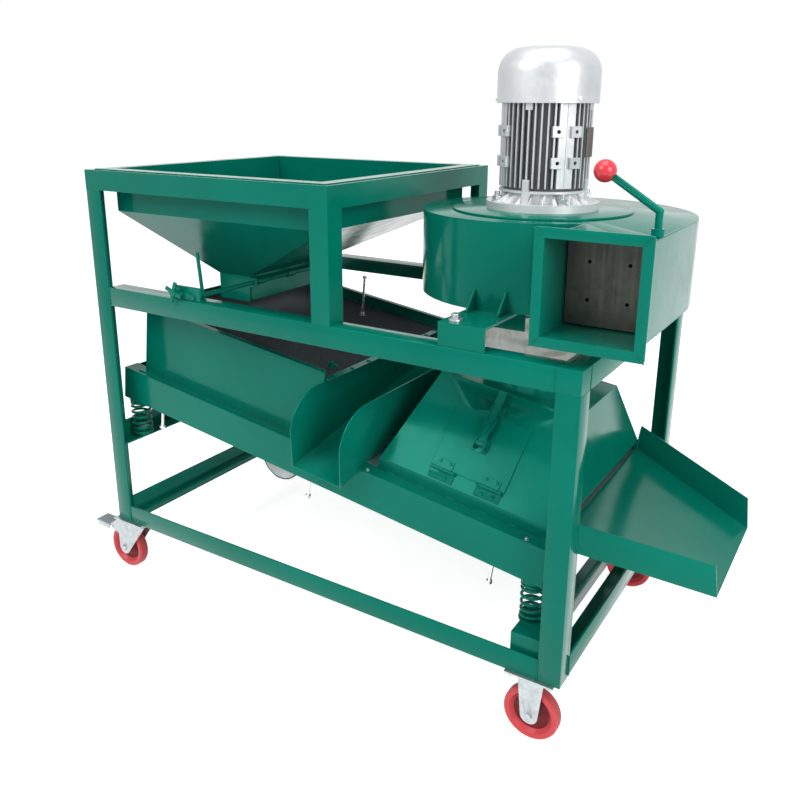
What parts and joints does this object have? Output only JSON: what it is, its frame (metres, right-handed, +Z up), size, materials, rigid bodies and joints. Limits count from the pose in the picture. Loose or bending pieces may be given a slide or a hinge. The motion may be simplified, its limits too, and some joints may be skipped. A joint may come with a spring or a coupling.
{
  "type": "seed cleaner",
  "caption": "Wheeled grain and seed cleaner: hopper over a sprung sloping sieve box, suction hood with top fan, side chute and discharge tray in an angle-iron frame.",
  "frame": {"origin": "centre of the bounding box on the floor", "axes": "+X from the hopper end to the discharge end, +Y from the chute side to the back, +Z up"},
  "size_m": [1.7128, 0.787, 1.43],
  "materials": {
    "green_paint": "gloss",
    "motor_paint": "satin",
    "zinc_steel": "satin",
    "wheel_red": "satin",
    "knob_red": "gloss",
    "sieve_wire": "matte",
    "fan_steel": "satin",
    "sleeve_canvas": "matte",
    "raw_steel": "matte",
    "plate_metal": "satin"
  },
  "bodies": {
    "frame": {"corner_posts": "green_paint", "hopper_frame": "green_paint", "mid_rails": "green_paint", "lower_rails": "green_paint", "spring_rails": "green_paint", "spring_pedestals": "green_paint", "hopper": "green_paint", "gate_bracket": "green_paint", "fan_casing": "green_paint", "fan_floor": "green_paint", "fan_top_plate": "green_paint", "outlet_flange": "green_paint", "motor_plate": "green_paint", "fan_brackets": "green_paint", "motor_body": "motor_paint", "motor_flange": "motor_paint", "motor_cowl": "motor_paint", "terminal_box": "motor_paint", "nameplate": "plate_metal", "flange_bolts": "zinc_steel", "caster_plates": "zinc_steel", "rigid_forks": "zinc_steel"},
    "shaker": {"lower_box": "green_paint", "bottom_pan": "green_paint", "lower_deck": "zinc_steel", "upper_box": "green_paint", "sieve_screen": "sieve_wire", "sieve_clamps": "green_paint", "side_chute": "green_paint", "suction_hood": "green_paint", "hood_collar": "green_paint", "discharge_tray": "green_paint", "hanging_bolts": "zinc_steel", "vibration_motor": "green_paint", "spring_caps": "green_paint", "spring_front_left": "green_paint", "spring_front_right": "green_paint", "spring_back_left": "green_paint", "spring_back_right": "green_paint", "canvas_sleeve": "sleeve_canvas"},
    "fan_rotor": {"impeller": "fan_steel", "motor_shaft": "zinc_steel", "cooling_fan": "fan_steel"},
    "damper": {"damper_plate": "raw_steel", "damper_lever": "green_paint", "damper_knob": "knob_red"},
    "feed_gate": {"gate_flap": "green_paint", "gate_shaft": "green_paint"},
    "gate_lock": {"gate_lock_knob": "zinc_steel"},
    "vibrator_rotor": {"rotor_weights": "fan_steel"},
    "door": {"hood_door": "green_paint"},
    "latch": {"latch_lever": "green_paint"},
    "swivel_front_left": {"fork_front_left": "zinc_steel"},
    "swivel_back_left": {"fork_back_left": "zinc_steel"},
    "wheel_fl": {"wheel_front_left": "wheel_red"},
    "wheel_bl": {"wheel_back_left": "wheel_red"},
    "wheel_fr": {"wheel_front_right": "wheel_red"},
    "wheel_br": {"wheel_back_right": "wheel_red"},
    "pedal_fl": {"pedal_front_left": "zinc_steel"},
    "pedal_bl": {"pedal_back_left": "zinc_steel"}
  },
  "joints": [
    {"name": "shaker_bounce", "type": "slide", "parent": "frame", "child": "shaker", "axis": [0, 0, 1], "range_m": [-0.006, 0.006], "stiffness_N_per_m": 60000, "springref_m": 0.01672, "deforming": ["spring_front_left", "spring_back_left", "spring_front_right", "spring_back_right", "canvas_sleeve"]},
    {"name": "fan_spin", "type": "hinge", "parent": "frame", "child": "fan_rotor", "pos_m": [0.35364, 0.0095, 1], "axis": [0, 0, 1], "continuous": true},
    {"name": "damper_turn", "type": "hinge", "parent": "frame", "child": "damper", "pos_m": [0.68164, -0.2475, 1], "axis": [0, 0, -1], "range_deg": [0, 85]},
    {"name": "gate_swing", "type": "hinge", "parent": "frame", "child": "feed_gate", "pos_m": [-0.38536, 0.0105, 0.859], "axis": [0, -1, 0], "range_deg": [0, 60]},
    {"name": "gate_lock_turn", "type": "hinge", "parent": "frame", "child": "gate_lock", "pos_m": [-0.43336, -0.3545, 0.87], "axis": [0, 1, 0], "continuous": true},
    {"name": "vibrator_spin", "type": "hinge", "parent": "shaker", "child": "vibrator_rotor", "pos_m": [-0.3371, 0.0105, 0.35954], "axis": [0, 1, 0], "continuous": true},
    {"name": "door_swing", "type": "hinge", "parent": "shaker", "child": "door", "pos_m": [0.32169, -0.26386, 0.52349], "axis": [0.9905, 0, -0.1374], "range_deg": [0, 100]},
    {"name": "latch_swing", "type": "hinge", "parent": "door", "child": "latch", "pos_m": [0.33124, -0.216, 0.59232], "axis": [0.9905, 0, -0.1374], "range_deg": [0, 100]},
    {"name": "swivel_front_left_turn", "type": "hinge", "parent": "frame", "child": "swivel_front_left", "pos_m": [-0.69736, -0.3345, 0.14], "axis": [0, 0, 1], "continuous": true},
    {"name": "wheel_fl_spin", "type": "hinge", "parent": "swivel_front_left", "child": "wheel_fl", "pos_m": [-0.74036, -0.3345, 0.0625], "axis": [0, 1, 0], "continuous": true},
    {"name": "pedal_fl_press", "type": "hinge", "parent": "swivel_front_left", "child": "pedal_fl", "pos_m": [-0.78636, -0.3345, 0.1195], "axis": [0, -1, 0], "range_deg": [0, 15]},
    {"name": "swivel_back_left_turn", "type": "hinge", "parent": "frame", "child": "swivel_back_left", "pos_m": [-0.69736, 0.3555, 0.14], "axis": [0, 0, 1], "continuous": true},
    {"name": "wheel_bl_spin", "type": "hinge", "parent": "swivel_back_left", "child": "wheel_bl", "pos_m": [-0.74036, 0.3555, 0.0625], "axis": [0, 1, 0], "continuous": true},
    {"name": "pedal_bl_press", "type": "hinge", "parent": "swivel_back_left", "child": "pedal_bl", "pos_m": [-0.78636, 0.3555, 0.1195], "axis": [0, -1, 0], "range_deg": [0, 15]},
    {"name": "wheel_fr_spin", "type": "hinge", "parent": "frame", "child": "wheel_fr", "pos_m": [0.53564, -0.3345, 0.0625], "axis": [0, 1, 0], "continuous": true},
    {"name": "wheel_br_spin", "type": "hinge", "parent": "frame", "child": "wheel_br", "pos_m": [0.53564, 0.3555, 0.0625], "axis": [0, 1, 0], "continuous": true}
  ]
}
